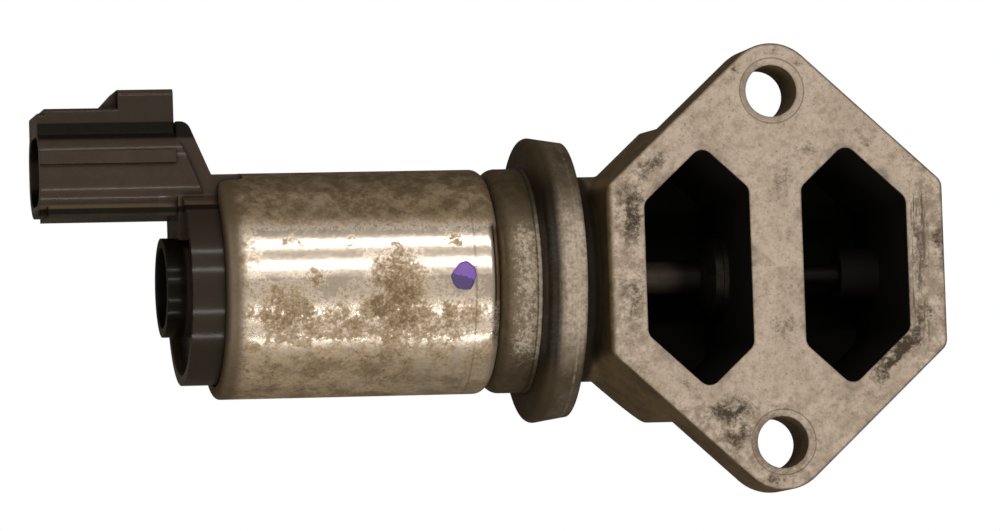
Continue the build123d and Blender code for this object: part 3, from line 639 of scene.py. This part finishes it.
# Paint dab: a drop of purple marking paint, set on the finished can beside the collar. It is thin, uneven at
# its rim and a little lighter where it ran thin at the top.
dab_place = (-0.0445, -0.0005)
dab_reach = (0.00184, 0.00192)
dab_height = 0.00006
dab_rings = 6
dab_steps = 48
can_radius = 0.01615
dab_paint, tree, surface, place = new_finish("purple marking paint")
x, y = split(tree, place)[:2]
runs = patches(tree, place, 1.6, 0.35, 0.65)
thin = added(tree, y, both(tree, x, 0.35), both(tree, runs, 0.5))
colour = tint(tree, ease(tree, thin, -15.6, -15.4), (0.062, 0.038, 0.165), (0.175, 0.088, 0.42))
feed(surface, {"Base Color": colour, "Roughness": between(tree, runs, 0.4, 0.6)})
dab = bmesh.new()
layers = []
for height in (dab_height, -dab_height):
    layer = []
    for ring_number in range(dab_rings + 1):
        share = ring_number / dab_rings
        out = can_radius + (height * (1 - share ** 3) if height > 0 else height * 0.5)
        loop = []
        for step in range(dab_steps if ring_number else 1):
            angle = 2 * pi * step / dab_steps
            wobble = 1 + 0.23 * cos(angle - 1.15) ** 3 + 0.07 * cos(2 * angle - 2.4)
            wobble += 0.035 * sin(5 * angle) + 0.02 * sin(11 * angle)
            along = dab_place[0] + dab_reach[0] * share * wobble * cos(angle)
            round_can = (dab_place[1] + dab_reach[1] * share * wobble * sin(angle)) / can_radius
            up = axis_depth / mm_per_metre + out * cos(round_can)
            loop.append(dab.verts.new((along, out * sin(round_can), up)))
        layer.append(loop)
    layers.append(layer)
for layer, flip in zip(layers, (False, True)):
    for inner, outer in zip(layer, layer[1:]):
        for step in range(dab_steps):
            corners = [outer[step - 1], outer[step]]
            corners += inner if len(inner) == 1 else [inner[step], inner[step - 1]]
            dab.faces.new(corners[::-1] if flip else corners)
top_rim, bottom_rim = layers[0][-1], layers[1][-1]
for step in range(dab_steps):
    dab.faces.new((top_rim[step], top_rim[step - 1], bottom_rim[step - 1], bottom_rim[step]))
bmesh.ops.recalc_face_normals(dab, faces=dab.faces)
dab_mesh = bpy.data.meshes.new("paint_dab")
dab.to_mesh(dab_mesh)
dab.free()
dab_mesh.shade_smooth()
dab_mesh.materials.append(dab_paint)
paint_dab = add_piece("paint_dab", dab_mesh)
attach(paint_dab, "housing")


# Collar: a drawn steel cup whose rim is rolled over the casting's round flange. Its plating has dulled, white
# oxide grains stand on the half next to the ring, and the rolling tool left fine lines round the ring.
collar_dull = (0.165, 0.128, 0.085)
collar_brown = (0.085, 0.062, 0.034)
collar_shade = (0.016, 0.0115, 0.006)
oxide = (0.47, 0.405, 0.325)
ring_grey = (0.50, 0.428, 0.352)
ring_root = -33.0
collar_steel, tree, surface, place = new_finish("oxidised collar steel")
x, y, z = split(tree, place)
side_y = work_out(tree, "ABSOLUTE", y)
on_ring = ease(tree, distance(tree, y, less(tree, z, axis_depth)), 16.4, 16.7)
# Painted shade on the ring's left wall and bend, which face the can.
shaded_ring_wall = both(tree, on_ring, ease(tree, x, ring_root + 2.9, ring_root + 1.2))
broad = patches(tree, place, 6.0, 0.4, 0.64)
small = patches(tree, place, 1.3, 0.42, 0.62)
crumbs = patches(tree, place, 0.55, 0.45, 0.54)
grain = use_pattern(tree, metal_grain, Place=place, Size=0.4)
lines = lines_round(tree, place, 0.35)
open_side = strip(tree, y, (-14.5, -10.0), (10.5, 5.0))
shaded_sides = ease(tree, side_y, 6.0, 14.0)
cover = both(tree, ease(tree, x, -38.4, -35.2), open_side, added(tree, both(tree, broad, 0.5), 0.5))
flecks = use_pattern(tree, loose_flecks, Place=place, Size=0.6, Cover=cover)["Flecks"]
oxidised = both(tree, flecks, ease(tree, cover, 0.0, 0.35))
bead = strip(tree, x, (ring_root - 0.66, ring_root - 0.52), (ring_root - 0.12, ring_root - 0.26))
# Painted shadow: a dark line beside the bead, and the crevice where the barrel meets the ring.
bead_shadow = strip(tree, x, (ring_root - 0.95, ring_root - 0.75), (ring_root - 0.55, ring_root - 0.68))
crevice_shadow = ease(tree, x, ring_root - 0.2, ring_root - 0.02)
# Painted shade: the barrel is painted browner towards its top and bottom sides.
browned = strongest(tree, both(tree, ease(tree, x, -36.4, -38.0), 0.4), both(tree, shaded_sides, 0.5))
browned = added(tree, both(tree, broad, 0.3), both(tree, small, 0.35), browned)
barrel_colour = tint(tree, browned, collar_dull, collar_brown)
barrel_colour = tint(tree, oxidised, barrel_colour, oxide)
barrel_colour = tint(tree, both(tree, grain["Pits"], 0.55), barrel_colour, collar_brown)
barrel_colour = tint(tree, both(tree, bead_shadow, 0.6), barrel_colour, collar_shade)
barrel_colour = tint(tree, both(tree, bead, open_side, 0.4), barrel_colour, oxide)
barrel_colour = tint(tree, crevice_shadow, barrel_colour, collar_shade)
streaks = ease(tree, lines, 0.38, 0.62)
mottle = added(tree, both(tree, small, 0.34), both(tree, crumbs, 0.24), both(tree, streaks, 0.12))
ring_colour = tint(tree, mottle, ring_grey, collar_brown)
# Painted shade: the ring is painted browner towards its top and bottom sides.
browned = both(tree, shaded_sides, added(tree, both(tree, broad, 0.3), 0.65))
ring_colour = tint(tree, browned, ring_colour, collar_brown)
# Painted highlight: a light line round the ring's right shoulder, in the oxide colour.
shoulder_highlight = strip(tree, x, (-28.75, -28.55), (-28.2, -28.4))
ring_colour = tint(tree, both(tree, shoulder_highlight, small, 0.5), ring_colour, oxide)
# Painted shade: the wall is near black at the front and brown towards the top and bottom.
wall_shade_colour = tint(tree, ease(tree, side_y, 17.0, 11.0), collar_brown, collar_shade)
ring_colour = tint(tree, shaded_ring_wall, ring_colour, wall_shade_colour)
rough = added(tree, between(tree, broad, 0.42, 0.58), both(tree, streaks, 0.06))
metallic = between(tree, oxidised, 0.7, 0.25)
feed(surface, {
    "Base Color": tint(tree, on_ring, barrel_colour, ring_colour), "Roughness": rough, "Metallic": metallic})
height = both(tree, grain["Height"], between(tree, on_ring, 0.6, 0.15))
height = added(tree, height, both(tree, oxidised, 0.7), both(tree, lines, on_ring, 0.25))
relief(tree, surface, height, strength=0.45, depth=0.08, radius=0.8)
dress(collar_steel, "crimp_collar")


# Seals: two moulded rings of black rubber with a little grey bloom. One is squeezed between the cap and the can,
# the other between the casting and the collar.
seal_rubber = filmed_finish(
    "black seal rubber", film=(3.0, 0.4, 0.75), bare=(0.018, 0.018, 0.018), filmed=(0.045, 0.043, 0.04),
    roughness=(0.6, 0.8))
dress(seal_rubber, "cap_seal", "body_seal")


# End cap: one dark glass-filled nylon moulding with the plug in the can, the vent boss and the connector.
# The mould's fine texture shows on the flats, and the edges have rubbed to a browner, smoother skin, with painted
# highlights on some.
nylon = (0.043, 0.031, 0.024)
nylon_dusty = (0.054, 0.040, 0.031)
nylon_brown = (0.088, 0.063, 0.034)
nylon_rail_dark = (0.028, 0.0205, 0.015)
nylon_oily = (0.054, 0.0395, 0.030)
nylon_dark = (0.007, 0.0052, 0.0034)
nylon_shade_black = (0.004, 0.0034, 0.0024)
black_plastic, tree, surface, place = new_finish("dark moulded nylon")
x, y, z = split(tree, place)
from_axis = distance(tree, y, less(tree, z, axis_depth))
dust = patches(tree, place, 4.0, 0.40, 0.68)
scuffs = patches(tree, place, 0.5, 0.5, 0.7)
fine = use_pattern(tree, metal_grain, Place=place, Size=0.2)
edges = relief(tree, surface, fine["Height"], strength=0.12, depth=0.03, radius=0.45)
corners = use_pattern(tree, shaded_corners, Reach=1.2)["Corners"]
latch_top_highlight = both(tree, ease(tree, y, 27.2, 27.9), 0.5)
rail_side = both(tree, ease(tree, y, 23.2, 23.4), 0.85)
# Painted shadow under the rail's overhang, near black.
shadow_under_rail = both(tree, strip(tree, y, (20.6, 21.2), (23.45, 23.25)), ease(tree, z, -18.5, -16.5))
keel_edge_highlight = both(tree, strip(tree, y, (11.2, 11.35), (11.9, 11.7)), ease(tree, z, -18.5, -17.0), 0.7)
# Painted shade along the underside of the shroud, on the keel and below it.
shade_below_keel = both(tree, ease(tree, y, 11.2, 10.9), 0.6)
shade_under_keel = strongest(tree, strip(tree, y, (10.2, 10.5), (11.25, 11.1)), shade_below_keel)
socket = both(tree, strip(tree, y, (11.7, 12.0), (21.9, 21.6)), strip(tree, z, (-26.6, -26.2), (-15.4, -15.8)))
socket = both(tree, socket, ease(tree, x, -90.5, -91.0))
on_plug = both(tree, ease(tree, from_axis, 14.6, 14.3), ease(tree, x, -86.5, -86.0))
cap_rim_highlight = both(tree, strip(tree, from_axis, (10.5, 12.0), (14.0, 13.85)), ease(tree, x, -81.0, -82.0))
cap_rim_highlight = both(tree, cap_rim_highlight, ease(tree, y, 0.0, -6.0), 0.9)
on_vent = both(tree, ease(tree, from_axis, 8.2, 7.6), ease(tree, x, -82.4, -82.9))
in_vent = both(tree, ease(tree, from_axis, 5.9, 5.7), ease(tree, x, -84.9, -84.5))
# Painted highlights: the latch top, the keel's edge and the lower rim of the cap are painted lighter brown; the other
# edges are lighter by wear and by painted highlight.
rubbed = strongest(tree, latch_top_highlight, keel_edge_highlight, cap_rim_highlight, both(tree, edges, 0.3))
# Painted shade: the shade under the rail and the keel and in inner corners is painted near black.
painted_shade = strongest(tree, both(tree, strongest(tree, shadow_under_rail, shade_under_keel), 0.9), both(tree, corners, 0.85))
colour = tint(tree, added(tree, both(tree, dust, 0.5), both(tree, scuffs, 0.2)), nylon, nylon_dusty)
colour = tint(tree, on_plug, colour, nylon_oily)
colour = tint(tree, on_vent, colour, nylon_dark)
# The rail and the latch are painted a darker tone.
colour = tint(tree, rail_side, colour, nylon_rail_dark)
colour = tint(tree, rubbed, colour, nylon_brown)
colour = tint(tree, painted_shade, colour, nylon_shade_black)
# Painted shade inside the socket and the vent's bore.
colour = tint(tree, strongest(tree, socket, in_vent), colour, nylon_shade_black)
gloss = both(tree, less(tree, 1.0, painted_shade), between(tree, on_plug, 0.22, 0.5), between(tree, on_vent, 1.0, 0.5))
feed(surface, {
    "Base Color": colour, "Roughness": between(tree, dust, 0.24, 0.36), "Coat Weight": gloss,
    "Coat Roughness": 0.13, "Specular IOR Level": 0.05})
dress(black_plastic, "end_cap")


# Contacts and vent: two tinned brass blades in the connector, and a disc of open foam that keeps dust out of
# the vent. Both are pressed into the moulding.
tinned_brass = filmed_finish(
    "tinned contact brass", film=(1.5, 0.4, 0.7), bare=(0.62, 0.60, 0.55), filmed=(0.40, 0.35, 0.26),
    roughness=(0.25, 0.45), Metallic=1.0)
dress(tinned_brass, "terminal_blades")

cell_depth = 0.3
filter_foam, tree, surface, place = new_finish("dusty filter foam")
cells = use_pattern(tree, metal_grain, Place=place, Size=0.5)
colour = tint(tree, cells["Pits"], (0.055, 0.048, 0.04), (0.008, 0.007, 0.006))
inputs = {"Height": cells["Height"], "Strength": 1.0, "Distance": cell_depth / mm_per_metre}
bump = node(tree, "ShaderNodeBump", inputs).outputs[0]
feed(surface, {"Base Color": colour, "Roughness": 0.95, "Normal": bump})
dress(filter_foam, "vent_filter")


# Studio: the valve lies on a plain white floor in a pale room, seen from above as in the photograph. Four long
# tubes side by side over the can give the light streaks on its plating.
floor_gap = 0.0002
white = (1.0, 1.0, 1.0)
scene = bpy.context.scene
bpy.ops.mesh.primitive_plane_add(size=6.0, location=(0, 0, 0))
floor = bpy.context.object
floor.data.transform(Matrix.Translation((0, 0, cad_box[0].z - floor_gap)))
floor.name = "floor"
white_floor = bpy.data.materials.new("white floor")
white_floor.use_nodes = True
tree = white_floor.node_tree
surface = feed(tree.nodes["Principled BSDF"], {"Base Color": (0.14, 0.12, 0.10, 1.0), "Roughness": 0.9})
glow = node(tree, "ShaderNodeEmission", {"Color": (*white, 1.0), "Strength": 1.0})
in_sight = node(tree, "ShaderNodeLightPath").outputs["Is Camera Ray"]
seen = node(tree, "ShaderNodeMixShader", {0: in_sight, 1: surface.outputs[0], 2: glow.outputs[0]})
feed(tree.nodes["Material Output"], {"Surface": seen.outputs[0]})
floor.data.materials.append(white_floor)

world = bpy.data.worlds.new("studio")
world.use_nodes = True
scene.world = world
tree = world.node_tree
height = split(tree, node(tree, "ShaderNodeTexCoord").outputs["Generated"])[2]
room = tint(tree, ease(tree, height, 0.0, 1.0), (0.05, 0.043, 0.033), (0.50, 0.44, 0.37))
in_sight = node(tree, "ShaderNodeLightPath").outputs["Is Camera Ray"]
feed(tree.nodes["Background"], {"Color": tint(tree, in_sight, room, white)})

tube_angles = (38.6, 16.6, -32.0, -62.6)
tube_length, tube_width = 1.2, 0.045
tube_power = 2.4
tube_distance = 0.9
tube_middle = Vector((-0.04, 0.0, -0.021))
for number, angle in enumerate(tube_angles):
    tube = bpy.data.lights.new(f"tube {number}", "AREA")
    tube.shape = "RECTANGLE"
    tube.size, tube.size_y = tube_length, tube_width
    tube.energy = tube_power
    tube.color = (1.0, 0.96, 0.90)
    holder = add_piece(f"tube {number}", tube)
    out = Vector((0.0, sin(radians(angle)), cos(radians(angle))))
    across = Vector((1.0, 0.0, 0.0))
    tube_turn = Matrix((across, out.cross(across), out)).transposed().to_4x4()
    holder.matrix_world = Matrix.Translation(tube_middle + tube_distance * out) @ tube_turn
    holder.visible_camera = False

camera_place = (-0.205337, -0.05902, 0.874264)
camera_right = Vector((0.98302, -0.03232, 0.18062))
camera_back = Vector((-0.18241, -0.06511, 0.98107))
sensor_width = 36.0
focal_share = 6.3342
camera_data = bpy.data.cameras.new("camera")
camera_data.sensor_width = sensor_width
camera_data.lens = sensor_width * focal_share
camera_data.shift_x = 0.0183
camera_data.shift_y = 0.0134
camera_data.clip_start, camera_data.clip_end = 0.05, 20.0
camera = add_piece("camera", camera_data)
camera_turn = Matrix((camera_right, camera_back.cross(camera_right), camera_back)).transposed().to_4x4()
camera.matrix_world = Matrix.Translation(camera_place) @ camera_turn
scene.camera = camera
scene.view_settings.view_transform = "Standard"
